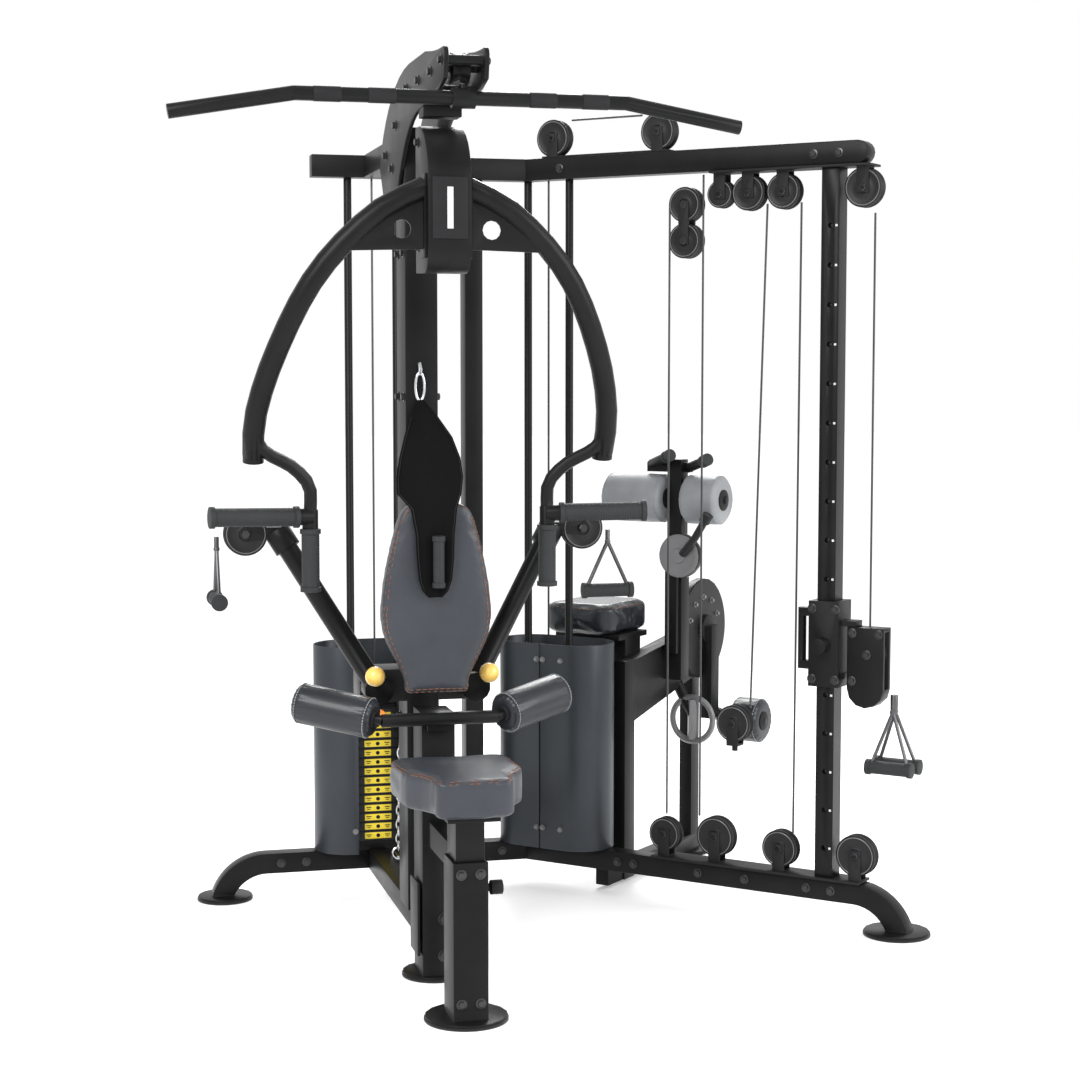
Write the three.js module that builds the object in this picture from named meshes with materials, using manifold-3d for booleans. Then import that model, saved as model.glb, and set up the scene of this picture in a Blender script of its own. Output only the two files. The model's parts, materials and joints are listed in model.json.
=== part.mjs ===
// A multi station home gym: a press and lat tower in front, a left and a right weight stack behind it,
// and a right wing at 45 degrees with a leg station and an adjustable cable column.
// Millimetres, +Z up, the front station faces -Y. The origin is the middle of the main post's foot.
import * as THREE from "three";
import { mergeVertices } from "three/addons/utils/BufferGeometryUtils.js";
import Module from "manifold-3d";

const wasm = await Module();
wasm.setup();

// ---- driving dimensions ----
const GAP = 0.3;              // between touching pieces
const TUBE = 50;              // square and round frame tube
const RAIL = { bottom: 69, top: 125 };
const BEAM = { bottom: 1990, top: 2050 };
const FOOT = { height: 12, main: 79, front: 95, side: 75, wing: 86 };
const POST = { half: 40, front: -55, back: 55, top: 650 };
const FRONT_Y = -366;         // front post centre
const FRONT_TOP = 371;
const UPRIGHT = { front: 137, back: 257 };
const WING_Y = 860;           // line of the left beam and rail
const CORNER_X = 440;         // where the right wing starts
const LEG_BEND = 130;         // radius of the bent rail ends
const LEFT_BEND_X = -310;
const WING_BEND = 1012;
const COLUMN = { left: 255, right: 305, half: 33 };
const PLATE = { pitch: 26, count: 13, half: 88, depth: 42, bottom: 151 };
const ROD = { radius: 11, spacing: 134 };
const RIGHT_STACK = 71;       // along the wing
const SHROUD = { half: 172, depth: 95, wall: 3, top: 704 };
const CABLE = 3;              // cable radius
const WING_POST = 929;        // adjustable column, along the wing
const HOLE_PITCH = 101.6;
const MAST_V = 376;           // thigh mast, behind the wing
const STEEL = { color: 0x17181a, roughness: 0.42, metalness: 0.6 };
const RUBBER = { color: 0x2a2b2d, roughness: 0.8, metalness: 0 };
const LEATHER = { color: 0x2f343c, roughness: 0.5, metalness: 0 };
const SHEET = { color: 0x41454a, roughness: 0.45, metalness: 0.5 };
const CHROME = { color: 0xb9bcc0, roughness: 0.25, metalness: 1 };
const WIRE = { color: 0x202122, roughness: 0.5, metalness: 0.2 };

// ---- solid helpers ----
function toSolid(geometry) {
  const bare = geometry.clone();
  bare.deleteAttribute("normal");
  bare.deleteAttribute("uv");
  const merged = mergeVertices(bare, 1e-3);
  const vertProperties = merged.attributes.position.array;
  return new wasm.Manifold(new wasm.Mesh({ numProp: 3, vertProperties, triVerts: merged.index.array }));
}

function toGeometry(solid) {
  const mesh = solid.getMesh();
  const geometry = new THREE.BufferGeometry();
  geometry.setAttribute("position", new THREE.BufferAttribute(mesh.vertProperties, 3));
  geometry.setIndex(new THREE.BufferAttribute(mesh.triVerts, 1));
  return geometry;
}

function join(...geometries) {
  return toGeometry(geometries.map(toSolid).reduce((sum, next) => sum.add(next)));
}

function cut(body, ...tools) {
  return toGeometry(tools.map(toSolid).reduce((rest, tool) => rest.subtract(tool), toSolid(body)));
}

const vector = (p) => new THREE.Vector3(...p);

// A box from its x, y and z ranges.
function block([x0, x1], [y0, y1], [z0, z1]) {
  const box = new THREE.BoxGeometry(x1 - x0, y1 - y0, z1 - z0);
  return box.translate((x0 + x1) / 2, (y0 + y1) / 2, (z0 + z1) / 2);
}

// A round bar between two points.
function bar(from, to, radius, sides = 12) {
  const along = vector(to).sub(vector(from));
  const cylinder = new THREE.CylinderGeometry(radius, radius, along.length(), sides);
  const turn = new THREE.Quaternion().setFromUnitVectors(new THREE.Vector3(0, 1, 0), along.clone().normalize());
  const middle = vector(from).addScaledVector(along, 0.5);
  return cylinder.applyQuaternion(turn).translate(middle.x, middle.y, middle.z);
}

// A round tube along a smooth curve through points.
function bentTube(points, radius, steps, sides) {
  const path = new THREE.CatmullRomCurve3(points.map(vector), false, "centripetal");
  const section = new THREE.Shape().absarc(0, 0, radius, 0, 2 * Math.PI);
  const options = { steps, extrudePath: path, curveSegments: sides / 2, bevelEnabled: false };
  return new THREE.ExtrudeGeometry(section, options);
}

// A flat outline drawn in Y and Z, as thick as the x range.
function sideSlab(shape, [x0, x1], curveSegments = 8) {
  const slab = new THREE.ExtrudeGeometry(shape, { depth: x1 - x0, bevelEnabled: false, curveSegments });
  const axes = new THREE.Matrix4().makeBasis(vector([0, 1, 0]), vector([0, 0, 1]), vector([1, 0, 0]));
  return slab.applyMatrix4(axes).translate(x0, 0, 0);
}

// A flat outline drawn in X and Z, as thick as the y range.
function frontSlab(shape, [y0, y1], curveSegments = 8) {
  const slab = new THREE.ExtrudeGeometry(shape, { depth: y1 - y0, bevelEnabled: false, curveSegments });
  const axes = new THREE.Matrix4().makeBasis(vector([1, 0, 0]), vector([0, 0, 1]), vector([0, -1, 0]));
  return slab.applyMatrix4(axes).translate(0, y1, 0);
}

// A flat outline drawn in X and Y, as tall as the z range.
function planSlab(shape, [z0, z1], curveSegments = 8) {
  const slab = new THREE.ExtrudeGeometry(shape, { depth: z1 - z0, bevelEnabled: false, curveSegments });
  return slab.translate(0, 0, z0);
}

// A stadium around x = middle with half length and half depth.
function stadium(middle, half, depth, centreY = 0) {
  const run = half - depth;
  const shape = new THREE.Shape();
  shape.absarc(middle + run, centreY, depth, -Math.PI / 2, Math.PI / 2);
  shape.absarc(middle - run, centreY, depth, Math.PI / 2, 1.5 * Math.PI);
  return shape;
}

// A box with rounded upright edges.
function padBlock([x0, x1], [y0, y1], [z0, z1], corner = 30) {
  const shape = new THREE.Shape();
  shape.absarc(x1 - corner, y1 - corner, corner, 0, Math.PI / 2);
  shape.absarc(x0 + corner, y1 - corner, corner, Math.PI / 2, Math.PI);
  shape.absarc(x0 + corner, y0 + corner, corner, Math.PI, 1.5 * Math.PI);
  shape.absarc(x1 - corner, y0 + corner, corner, 1.5 * Math.PI, 2 * Math.PI);
  return planSlab(shape, [z0, z1], 4);
}

// A grooved cable wheel on the axis direction.
function pulley(centre, axis, radius, width = 26) {
  const half = width / 2;
  const groove = radius - 8;
  const outline = [[0, -half], [radius, -half], [groove, 0], [radius, half], [0, half]];
  const wheel = new THREE.LatheGeometry(outline.map(([r, y]) => new THREE.Vector2(r, y)), 12);
  const turn = new THREE.Quaternion().setFromUnitVectors(new THREE.Vector3(0, 1, 0), vector(axis).normalize());
  return wheel.applyQuaternion(turn).translate(...centre);
}

// A wheel between two cheek plates that hang from a bracket; the axis is Y.
function hungPulley([x, y, z], radius, reach) {
  const sign = Math.sign(reach);
  const plates = [-1, 1].map((side) => {
    const near = y + side * 15;
    const ends = [z - sign * 14, z + reach].sort((a, b) => a - b);
    return block([x - 17, x + 17], [Math.min(near, near + side * 4), Math.max(near, near + side * 4)], ends);
  });
  const pin = bar([x, y - 24, z], [x, y + 24, z], 8, 8);
  const root = [z + reach - sign * 6, z + reach].sort((a, b) => a - b);
  return join(pulley([x, y, z], [0, 1, 0], radius), ...plates, pin, block([x - 17, x + 17], [y - 19, y + 19], root));
}

const part = new THREE.Group();
const wing = new THREE.Group();
wing.position.set(CORNER_X, WING_Y, 0);
wing.rotation.z = -Math.PI / 4;
part.add(wing);

function add(name, geometry, look, group = part) {
  const mesh = new THREE.Mesh(geometry, new THREE.MeshStandardMaterial(look));
  mesh.name = name;
  group.add(mesh);
}

// World geometry seen from the wing.
function inWing(geometry) {
  return geometry.translate(-CORNER_X, -WING_Y, 0).rotateZ(Math.PI / 4);
}

// ---- frame ----
function bentRail(inner, bend, sign) {
  const middle = (RAIL.bottom + RAIL.top) / 2 - LEG_BEND;
  const outer = LEG_BEND + (RAIL.top - RAIL.bottom) / 2;
  const inside = LEG_BEND - (RAIL.top - RAIL.bottom) / 2;
  const rise = FOOT.height - 2 - middle;
  const shape = new THREE.Shape();
  const flip = (angle) => (sign > 0 ? angle : Math.PI - angle);
  shape.moveTo(inner, RAIL.bottom);
  shape.lineTo(bend, RAIL.bottom);
  shape.absarc(bend, middle, inside, flip(Math.PI / 2), flip(Math.asin(rise / inside)), sign > 0);
  shape.absarc(bend, middle, outer, flip(Math.asin(rise / outer)), flip(Math.PI / 2), sign < 0);
  shape.lineTo(inner, RAIL.top);
  return frontSlab(shape, [-TUBE / 2, TUBE / 2]);
}

function foot(x, y, radius) {
  return bar([x, y, 0], [x, y, FOOT.height], radius, 16);
}

// The board behind the back pad, on two arms from the upright.
function padBracket() {
  const board = block([-70, 70], [GAP, 8], [720, 1100]);
  const arms = [760, 1040].map((z) => block([-25, 25], [4, UPRIGHT.front + 1], [z, z + 50]));
  return [board, ...arms];
}

// The two ears that carry the cable arms.
function armMount() {
  return [-1, 1].map((side) => block([side * 38, side * 156].sort((a, b) => a - b), [145, 250], [650, 730]));
}

function addFrame() {
  const tie = block([-25, 25], [FRONT_Y + 55 + GAP, POST.front + 1], [330, 390]);
  const mainPost = block([-POST.half, POST.half], [POST.front, POST.back], [FOOT.height - 1, POST.top]);
  add("main_post", join(mainPost, foot(0, 0, FOOT.main), tie), STEEL);
  const shell = block([-40, 40], [FRONT_Y - 55, FRONT_Y + 55], [FOOT.height - 1, FRONT_TOP]);
  const socket = block([-35, 35], [FRONT_Y - 50, FRONT_Y + 50], [FOOT.height + 8, FRONT_TOP + 1]);
  add("front_post", cut(join(shell, foot(0, FRONT_Y, FOOT.front)), socket), STEEL);
  const spineEnd = WING_Y - TUBE / 2 - GAP;
  add("spine_rail", block([-25, 25], [POST.back + GAP, spineEnd], [RAIL.bottom, RAIL.top]), STEEL);
  const left = bentRail(CORNER_X + 25, LEFT_BEND_X, -1).translate(0, WING_Y, 0);
  add("left_rail", join(left, foot(-424, WING_Y, FOOT.side)), STEEL);
  const keepOut = inWing(block([0, CORNER_X + 25 + GAP], [WING_Y - 25 - GAP, WING_Y + 25 + GAP], [0, 2200]));
  const right = cut(bentRail(0, WING_BEND, 1), keepOut);
  add("right_rail", join(right, foot(1126, 0, FOOT.wing)), STEEL, wing);
  const foundation = RAIL.top + GAP;
  const tall = block([-40, 40], [UPRIGHT.front, UPRIGHT.back], [foundation, BEAM.top]);
  add("main_upright", join(tall, ...padBracket(), ...armMount()), STEEL);
  const column = block([COLUMN.left, COLUMN.right], [WING_Y - COLUMN.half, WING_Y + COLUMN.half],
    [foundation, BEAM.bottom - GAP]);
  add("back_column", column, STEEL);
  add("top_spine", block([-25, 25], [UPRIGHT.back + GAP, spineEnd], [BEAM.bottom, BEAM.top]), STEEL);
  add("left_beam", block([-168, CORNER_X + 25], [WING_Y - 25, WING_Y + 25], [BEAM.bottom, BEAM.top]), STEEL);
  const arm = block([0, 1000], [-25, 25], [BEAM.bottom, BEAM.top]);
  const cap = bar([1000, -25, 2020], [1000, 25, 2020], 30, 16);
  add("right_beam", join(cut(arm, keepOut), cap), STEEL, wing);
  const holes = [];
  for (let z = 210; z < 1900; z += HOLE_PITCH) holes.push(bar([WING_POST, -30, z], [WING_POST, 30, z], 7, 10));
  const drilled = block([WING_POST - 25, WING_POST + 25], [-25, 25], [foundation, BEAM.bottom - GAP]);
  add("right_upright", cut(drilled, ...holes), STEEL, wing);
}

// ---- lat boom: two arched plates joined by cross bars ----
function boomOutline() {
  const shape = new THREE.Shape();
  shape.moveTo(205, 1870);
  shape.lineTo(360, 1870);
  shape.lineTo(430, 1975);
  shape.bezierCurveTo(400, 2060, 250, 2180, 20, 2184);
  shape.lineTo(-180, 2184);
  shape.bezierCurveTo(-240, 2176, -300, 2166, -385, 2166);
  shape.quadraticCurveTo(-405, 2166, -405, 2140);
  shape.lineTo(-395, 2097);
  shape.lineTo(-335, 2082);
  shape.lineTo(-130, 2066);
  shape.bezierCurveTo(20, 2066, 110, 2000, 205, 1870);
  return shape;
}

function addBoom() {
  const plates = [[-50.3, -40.3], [40.3, 50.3]].map((range) => sideSlab(boomOutline(), range, 10));
  const bars = [[-370, 2140], [-250, 2090], [60, 2130]].map(([y, z]) => bar([-48, y, z], [48, y, z], 11, 12));
  const lug = block([-45, 45], [-135, -75], [2045, 2075]);
  const wheel = pulley([0, -318, 2128], [1, 0, 0], 36, 40);
  const axle = bar([-48, -318, 2128], [48, -318, 2128], 8, 12);
  add("lat_boom", join(...plates, ...bars, lug, wheel, axle), STEEL);
}

// ---- weight stacks ----
function plates(x, y, from, to) {
  const parts = [];
  for (let i = from; i < to; i += 1) {
    const z = PLATE.bottom + i * PLATE.pitch;
    const inset = i === from ? 0 : 2;
    parts.push(block([x - PLATE.half, x + PLATE.half], [y - PLATE.depth, y + PLATE.depth],
      [z + inset, z + PLATE.pitch - GAP]));
    if (i > from) parts.push(block([x - PLATE.half + 4, x + PLATE.half - 4],
      [y - PLATE.depth + 4, y + PLATE.depth - 4], [z - 2, z + 4]));
  }
  const low = PLATE.bottom + from * PLATE.pitch - 1;
  const high = PLATE.bottom + to * PLATE.pitch + 1;
  const bores = [-1, 1].map((side) => x + side * ROD.spacing / 2)
    .map((at) => bar([at, y, low], [at, y, high], ROD.radius + 2, 12));
  return cut(join(...parts), ...bores);
}

function rods(x, y) {
  const base = block([x - 90, x + 90], [y - 40, y + 40], [RAIL.top + GAP, PLATE.bottom - GAP]);
  const pair = [-1, 1].map((side) => x + side * ROD.spacing / 2)
    .map((at) => bar([at, y, RAIL.top + 5], [at, y, BEAM.bottom - GAP], ROD.radius, 12));
  return join(base, ...pair);
}

// The lifting top plate with its cable stem, on the same rods.
function liftHead(x, y) {
  const z = PLATE.bottom + PLATE.count * PLATE.pitch;
  const plate = block([x - PLATE.half, x + PLATE.half], [y - PLATE.depth, y + PLATE.depth], [z, z + 32]);
  const bores = [-1, 1].map((side) => x + side * ROD.spacing / 2)
    .map((at) => bar([at, y, z - 1], [at, y, z + 33], ROD.radius + 2, 12));
  return join(cut(plate, ...bores), bar([x, y, z + 30], [x, y, z + 80], 12, 12));
}

function shroud(x, y, slot) {
  const z = [RAIL.top + GAP, SHROUD.top];
  const outer = planSlab(stadium(x, SHROUD.half, SHROUD.depth, y), z, 12);
  const inner = planSlab(stadium(x, SHROUD.half - SHROUD.wall, SHROUD.depth - SHROUD.wall, y), [0, 900], 12);
  const opening = block([x + slot[0], x + slot[1]], [y - 120, y - 80], [0, 900]);
  return cut(outer, inner, opening);
}

function addStacks() {
  add("left_rods", rods(0, WING_Y), CHROME);
  add("left_stack", plates(0, WING_Y, 0, PLATE.count), STEEL);
  add("left_head", liftHead(0, WING_Y), STEEL);
  const pinZ = PLATE.bottom + (PLATE.count - 0.5) * PLATE.pitch + PLATE.pitch + 4;
  const pinY = WING_Y - PLATE.depth - GAP;
  const knob = bar([0, pinY - 12, pinZ], [0, pinY - 40, pinZ], 19, 14);
  add("left_pin", join(bar([0, pinY, pinZ], [0, pinY - 14, pinZ], 6, 10), knob), RUBBER);
  add("left_shroud", shroud(0, WING_Y, [-62, 62]), SHEET);
  add("right_rods", rods(RIGHT_STACK, 0), CHROME, wing);
  add("right_stack", plates(RIGHT_STACK, 0, 0, PLATE.count), STEEL, wing);
  add("right_head", liftHead(RIGHT_STACK, 0), STEEL, wing);
  add("right_shroud", shroud(98, 0, [-1.5, 1.5]), SHEET, wing);
}

// ---- front station ----
function backPadOutline() {
  const shape = new THREE.Shape();
  shape.moveTo(-78, 685);
  shape.bezierCurveTo(-85, 760, -145, 800, -145, 880);
  shape.bezierCurveTo(-145, 960, -120, 1060, -98, 1120);
  shape.bezierCurveTo(-80, 1166, -60, 1166, 0, 1166);
  shape.bezierCurveTo(60, 1166, 80, 1166, 98, 1120);
  shape.bezierCurveTo(120, 1060, 145, 960, 145, 880);
  shape.bezierCurveTo(145, 800, 85, 760, 78, 685);
  return shape;
}

// Seen from above: wide at the back, narrower in front.
function seatOutline() {
  const shape = new THREE.Shape();
  shape.moveTo(-96, -470);
  shape.quadraticCurveTo(-94, -500, -60, -502);
  shape.quadraticCurveTo(0, -512, 60, -502);
  shape.quadraticCurveTo(94, -500, 96, -470);
  shape.bezierCurveTo(98, -390, 152, -380, 152, -320);
  shape.lineTo(152, -195);
  shape.quadraticCurveTo(150, -155, 112, -152);
  shape.lineTo(-112, -152);
  shape.quadraticCurveTo(-150, -155, -152, -195);
  shape.lineTo(-152, -320);
  shape.bezierCurveTo(-152, -380, -98, -390, -96, -470);
  return shape;
}

// The sling hung over the back pad for abdominal crunches.
function slingOutline() {
  const shape = new THREE.Shape();
  shape.moveTo(130, 1390);
  shape.lineTo(122, 1397);
  shape.lineTo(-74, 1184);
  shape.lineTo(-74, 935);
  shape.lineTo(-66, 935);
  shape.lineTo(-66, 1180);
  return shape;
}

function addSeat() {
  add("ab_sling", sideSlab(slingOutline(), [-62, 42]), RUBBER);
  add("back_pad", frontSlab(backPadOutline(), [-55, 0], 6), LEATHER);
  const inside = [FRONT_Y - 48, FRONT_Y + 48];
  const stem = block([-33, 33], inside, [170, 474]);
  const table = block([-60, 60], [-460, -190], [470, 481.7]);
  add("seat_post", join(stem, table), STEEL);
  add("seat_pad", planSlab(seatOutline(), [482, 570], 5), LEATHER);
  add("seat_pin", join(bar([40.3, FRONT_Y, 300], [58, FRONT_Y, 300], 9, 12),
    bar([56, FRONT_Y, 300], [84, FRONT_Y, 300], 17, 12)), RUBBER);
}

function rollerPoints(side) {
  return [[side * 137, -74, 640], [side * 330, 40, 676]];
}

function addRollers() {
  const bars = [-1, 1].map((side) => bar(...rollerPoints(side), 12, 12));
  const cross = bar([-140, -74, 640], [140, -74, 640], 16, 12);
  add("roller_bar", join(cross, ...bars, block([-30, 30], [-76, POST.front - GAP], [610, 649])), STEEL);
  [["left", -1], ["right", 1]].forEach(([name, side]) => {
    const [inner, outer] = rollerPoints(side).map(vector);
    const at = (t) => inner.clone().lerp(outer, t).toArray();
    const hollow = bar(at(0), at(0.93), 12.6, 12);
    add("thigh_roller_" + name, cut(bar(at(0.1), at(0.97), 50, 16), hollow, bar(at(0.9), at(1.2), 12.6, 12)), LEATHER);
  });
}

// ---- press station ----
function yokeOutline() {
  const shape = new THREE.Shape();
  shape.moveTo(-60, 1690);
  shape.lineTo(-60, 2025);
  shape.lineTo(-105, 2025);
  shape.quadraticCurveTo(-200, 2000, -215, 1910);
  shape.lineTo(-215, 1750);
  shape.quadraticCurveTo(-212, 1690, -160, 1686);
  return shape;
}

function addPress() {
  add("press_yoke", sideSlab(yokeOutline(), [-50, 50], 6), STEEL);
  [["left", -1], ["right", 1]].forEach(([name, side]) => {
    const path = [[50, -175, 1880], [150, -175, 1830], [290, -150, 1690], [385, -90, 1500], [425, -20, 1350],
      [425, 20, 1265]].map(([x, y, z]) => [side * x, y, z]);
    const lower = [[420, 0, 1300], [400, 5, 1275], [330, 20, 1235], [292, 30, 1190], [290, 35, 1130],
      [290, 35, 1100]].map(([x, y, z]) => [side * x, y, z]);
    const gusset = new THREE.Shape();
    gusset.moveTo(side * 49, 1740);
    gusset.lineTo(side * 225, 1735);
    gusset.lineTo(side * 225, 1765);
    gusset.lineTo(side * 49, 1875);
    const slot = bar([side * 105, -220, 1785], [side * 105, -120, 1785], 22, 12);
    const root = block([Math.min(side * 50.3, side * 56), Math.max(side * 50.3, side * 56)], [-200, -150], [1720, 1910]);
    const trim = block([-50.3, 50.3], [-300, 0], [1600, 2100]);
    const web = cut(frontSlab(gusset, [-180, -172]), slot);
    const upright = bar([side * 290, 35, 1135], [side * 290, 35, 940], 19, 12);
    const across = bar([side * 285, 30, 1118], [side * 530, 0, 1122], 20, 12);
    const tip = bar([side * 425, 17, 1275], [side * 425, 23, 1250], 25, 14);
    const all = join(bentTube(path, 26, 14, 12), bentTube(lower, 16, 10, 8), web, root, upright, across, tip);
    add("press_arm_" + name, cut(all, trim), STEEL);
  });
}

function addLatBar() {
  const points = [[-640, -360, 2012], [-371, -360, 2059], [371, -360, 2059], [640, -360, 2012]];
  const runs = points.slice(1).map((point, i) => bar(points[i], point, 16, 12));
  const knees = [points[1], points[2]].map((p) => new THREE.SphereGeometry(16.5, 10, 6).translate(...p));
  const clamp = bar([-26, -360, 2059], [26, -360, 2059], 23, 14);
  add("lat_bar", join(...runs, ...knees, clamp, bar([0, -360, 2070], [0, -360, 2088], 9, 12)), STEEL);
}

// ---- cable arms beside the press station ----
function addCableArms() {
  [["left", -1], ["right", 1]].forEach(([name, side]) => {
    const low = [side * 120, 105, 690];
    const high = [side * 345, 215, 1066];
    const collar = bar([side * 322, 204, 1028], [side * 348, 216, 1071], 33, 14);
    const head = block(...[[side * 335, side * 420].sort((a, b) => a - b), [200, 234], [1052, 1082]]);
    const wheel = pulley([side * 425, 217, 1066], [0, 1, 0], 52);
    const knob = bar([side * 135, 98, 700], [side * 140, 20, 730], 6, 10);
    const ball = new THREE.SphereGeometry(23, 12, 8).translate(side * 140, 14, 733);
    const hub = bar([side * 120, 70, 690], [side * 120, 140, 690], 36, 14);
    add("cable_arm_" + name, join(bar(low, high, 25, 12), collar, head, wheel, knob, ball, hub), STEEL);
    const x = side * 495;
    const spread = (across, z) => (side > 0 ? [x + across, 217, z] : [x, 217 + across, z]);
    const strap = [spread(0, 1030), spread(-58, 905), spread(58, 905)];
    const grip = bar(spread(-66, 905), spread(66, 905), 16);
    const link = bar([x, 217, 1026], [x, 217, 1060], 6, 10);
    add("stirrup_" + name, join(bar(strap[0], strap[1], 5, 8), bar(strap[0], strap[2], 5, 8), grip, link,
      new THREE.SphereGeometry(8, 8, 6).translate(...strap[0])), CHROME);
  });
}

// ---- pulleys and cables of the right wing ----
function addWingPulleys() {
  const onTop = BEAM.top + GAP;
  const topRail = block([60, 455], [-19, 19], [onTop, onTop + 5]);
  add("top_pulleys", join(topRail, ...[[92, 50], [420, 50]].map(([u, r]) => hungPulley([u, 0, 2104], r, -50))),
    RUBBER, wing);
  const under = BEAM.bottom - GAP;
  const around = block([WING_POST - 25 - GAP, WING_POST + 25 + GAP], [-25 - GAP, 25 + GAP], [0, 2100]);
  const lowRail = cut(block([585, 1040], [-38, 38], [under - 6, under]), around);
  const hung = [[607, 36], [690, 46], [790, 46], [1013, 50]].map(([u, r]) => hungPulley([u, 0, 1930], r, 56));
  add("beam_pulleys", join(lowRail, ...hung), RUBBER, wing);
  const railTop = RAIL.top + GAP;
  const saddle = cut(block([420, 1034], [-38, 38], [railTop, railTop + 6]), around);
  const low = [[450, 45, 190], [605, 54, 200], [796, 49, 190], [1014, 54, 196]]
    .map(([u, r, z]) => hungPulley([u, 0, z], r, railTop + 2 - z));
  add("base_pulleys", join(saddle, ...low), RUBBER, wing);
  const link = block([488, 518], [-22, -16], [1800, 1915]);
  const backLink = block([488, 518], [16, 22], [1800, 1915]);
  const pins = [1810, 1906].map((z) => bar([503, -25, z], [503, 25, z], 9, 12));
  const wheels = [1810, 1906].map((z) => pulley([503, 0, z], [0, 1, 0], 46, 30));
  add("float_double", join(link, backLink, ...pins, ...wheels), RUBBER, wing);
  const clevis = bar([657, 0, 440], [657, 0, 468], 8, 10);
  add("float_single", join(hungPulley([657, 0, 515], 49, -60), clevis), RUBBER, wing);
}

function addCables() {
  const headTop = PLATE.bottom + PLATE.count * PLATE.pitch + 80 + GAP;
  add("left_cable", bar([0, WING_Y, headTop], [0, WING_Y, BEAM.bottom - 1], CABLE, 8), WIRE);
  add("right_cable", bar([RIGHT_STACK, 0, headTop], [RIGHT_STACK, 0, BEAM.bottom - 1], CABLE, 8), WIRE, wing);
  add("top_cable", bar([146, 0, 2151.5], [366, 0, 2151.5], CABLE, 8), WIRE, wing);
  const drops = [["drop_cable_1", [451, 0, 1900], [451, 0, 245]], ["drop_cable_2", [552, 0, 1984], [552, 0, 250]],
    ["drop_cable_3", [740, 0, 1900], [702, 0, 560]], ["drop_cable_4", [837, 0, 1900], [830, 0, 230]],
    ["column_cable", [1042, 0, 1865], [1042, 0, 801]]];
  drops.forEach(([name, from, to]) => add(name, bar(from, to, CABLE, 8), WIRE, wing));
}

// ---- leg station behind the wing ----
function addLegStation() {
  const post = block([207, 257], [112, 170], [FOOT.height - 1, 640]);
  const beamShape = new THREE.Shape();
  beamShape.moveTo(112, 450);
  beamShape.lineTo(600, 556);
  beamShape.lineTo(640, 700);
  beamShape.lineTo(112, 630);
  const beam = sideSlab(beamShape, [207, 257]);
  const back = block([212, 252], [540, 590], [FOOT.height - 1, 600]);
  const runner = block([212, 252], [26, 600], [FOOT.height - 1, 60]);
  const tower = block([262, 312], [MAST_V - 25, MAST_V + 25], [560, 860]);
  const side = block([230, 290], [MAST_V - 25, MAST_V + 25], [560, 660]);
  const pads = foot(232, 560, 60);
  const shelf = block([0, 210], [160, 330], [690, 705.7]);
  const stay = block([60, 210], [200, 290], [600, 692]);
  add("leg_frame", join(post, beam, back, runner, tower, side, pads, shelf, stay), STEEL, wing);
  add("leg_seat_pad", padBlock([-35, 206], [112, 392], [706, 792], 50), LEATHER, wing);
  const disc = bar([258, 557, 690], [280, 557, 690], 150, 24);
  const hub = bar([278, 557, 690], [300, 557, 690], 42, 16);
  const arm = block([282, 318], [540, 590], [420, 700]);
  const shin = bar([300, 565, 440], [300, 696, 400], 20, 12);
  const axle = bar([280, 696, 400], [425, 696, 400], 12, 12);
  add("leg_lever", join(disc, hub, arm, shin, axle), STEEL, wing);
  const ankle = cut(bar([325, 696, 400], [420, 696, 400], 68, 16), bar([320, 696, 400], [425, 696, 400], 12.6, 12));
  add("ankle_roller", ankle, LEATHER, wing);
  const mast = block([266, 308], [MAST_V - 21, MAST_V + 21], [861, 1205]);
  const cross = bar([50, MAST_V, 1090], [445, MAST_V, 1090], 12, 12);
  const handles = [[300, 1205], [420, 1195]].map(([u, z]) => bar([u - 100, MAST_V, z - 15], [u, MAST_V - 75, z + 15], 14, 12));
  const shelfBar = block([190, 330], [MAST_V - 10, MAST_V + 10], [1168, 1196]);
  const adjuster = bar([330, MAST_V - 75, 930], [330, MAST_V - 55, 930], 64, 18);
  const tie = block([290, 340], [MAST_V - 60, MAST_V - 15], [915, 945]);
  const guide = block([268, 306], [MAST_V - 44, MAST_V - 25 - GAP], [640, 900]);
  const step = block([268, 306], [MAST_V - 44, MAST_V], [861, 900]);
  add("thigh_mast", join(mast, guide, step, cross, ...handles, shelfBar, adjuster, tie), STEEL, wing);
  const bores = (from, to) => bar([from, MAST_V, 1090], [to, MAST_V, 1090], 12.6, 12);
  add("mast_roller_left", cut(bar([62, MAST_V, 1090], [255, MAST_V, 1090], 72, 18), bores(60, 260)), LEATHER, wing);
  add("mast_roller_right", cut(bar([318, MAST_V, 1090], [436, MAST_V, 1090], 72, 18), bores(310, 440)), LEATHER, wing);
}

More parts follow.
